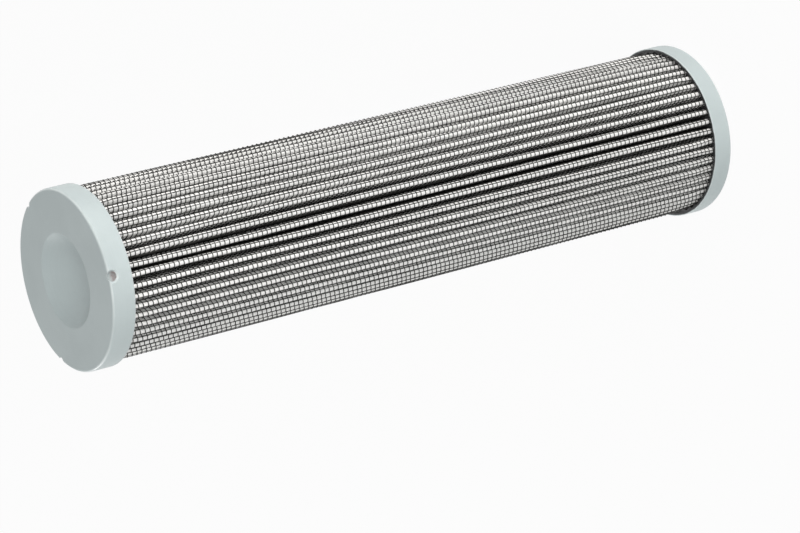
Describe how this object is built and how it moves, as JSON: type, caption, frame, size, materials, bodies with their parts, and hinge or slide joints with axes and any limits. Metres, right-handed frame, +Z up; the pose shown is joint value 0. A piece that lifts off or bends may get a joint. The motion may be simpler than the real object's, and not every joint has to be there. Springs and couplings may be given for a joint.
{
  "type": "hydraulic filter element",
  "caption": "Long round hydraulic filter element: pleated pack of wire mesh and glass fibre round a perforated core, with two grey end caps, one dished and closed, one with a sealed bore.",
  "frame": {"origin": "centre of the open end cap's outer face, which the element stands on", "axes": "+Z up the element's axis, from the open end cap to the closed one; the pack's side seam faces +Y"},
  "size_m": [0.08, 0.08, 0.3305],
  "materials": {
    "cap_plastic": "satin moulded, pale blue-grey",
    "coated_mesh": "dark epoxy-coated steel wire",
    "white_fleece": "matt bonded fibre",
    "glass_fibre": "matt glass fibre felt",
    "inner_mesh_wire": "bare steel wire",
    "core_steel": "galvanised sheet steel",
    "clip_steel": "plain folded strip",
    "bond_resin": "dark grey cast resin",
    "seal_rubber": "smooth nitrile rubber"
  },
  "bodies": {
    "root": {"closed_end_cap": "cap_plastic", "open_end_cap": "cap_plastic", "core_tube": "core_steel", "outer_wire_mesh": "coated_mesh", "protective_fleece": "white_fleece", "prefilter_layer": "glass_fibre", "main_filter_layer": "glass_fibre", "support_fleece": "white_fleece", "inner_wire_mesh": "inner_mesh_wire", "seam_clip": "clip_steel", "seam_adhesive": "bond_resin", "closed_end_adhesive": "bond_resin", "open_end_adhesive": "bond_resin", "spigot_seal": "seal_rubber"}
  },
  "joints": []
}
